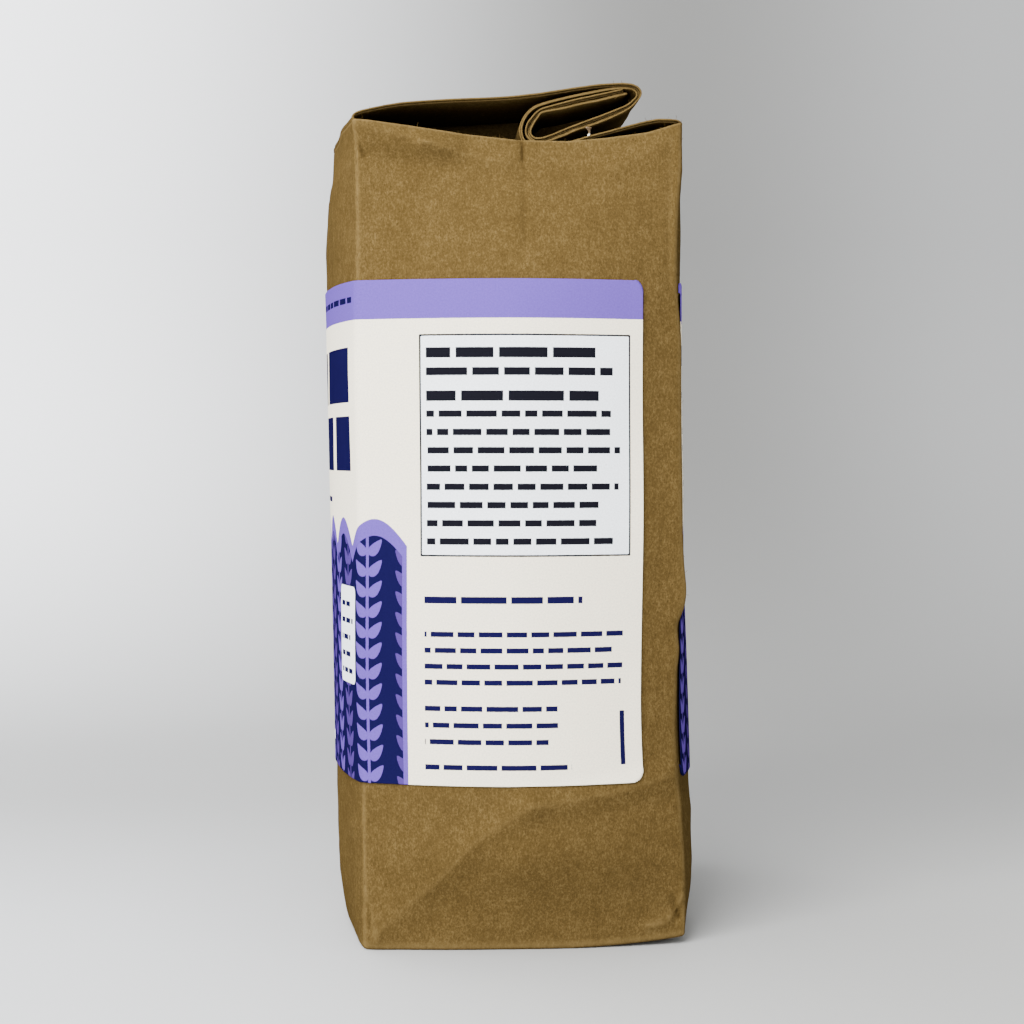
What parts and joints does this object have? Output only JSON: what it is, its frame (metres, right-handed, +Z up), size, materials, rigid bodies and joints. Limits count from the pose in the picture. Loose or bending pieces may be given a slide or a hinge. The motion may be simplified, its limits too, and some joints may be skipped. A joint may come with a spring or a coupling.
{
  "type": "paper_bag_of_rolled_oats",
  "caption": "upright kraft paper bag of rolled oats, side gussets, top rolled down and glued shut, printed label wrapped round",
  "frame": {"origin": "centre of the ground rectangle that the bag fills, on the plane it stands on", "axes": "Z up; the wide display panel faces -Y and the wide back panel +Y; the two narrow gusset sides face +X and -X, and the label's first end and the glue dab are at +X"},
  "size_m": [0.146, 0.1004, 0.2202],
  "materials": {
    "kraft_paper": "matte unbleached paper, worn pale along its creases",
    "label_paper": "smooth coated label, cream with lavender and navy fields",
    "hot_glue": "cloudy, see-through dab"
  },
  "bodies": {
    "root": {"bag": "kraft_paper", "label": "label_paper", "glue_bead": "hot_glue"}
  },
  "joints": []
}
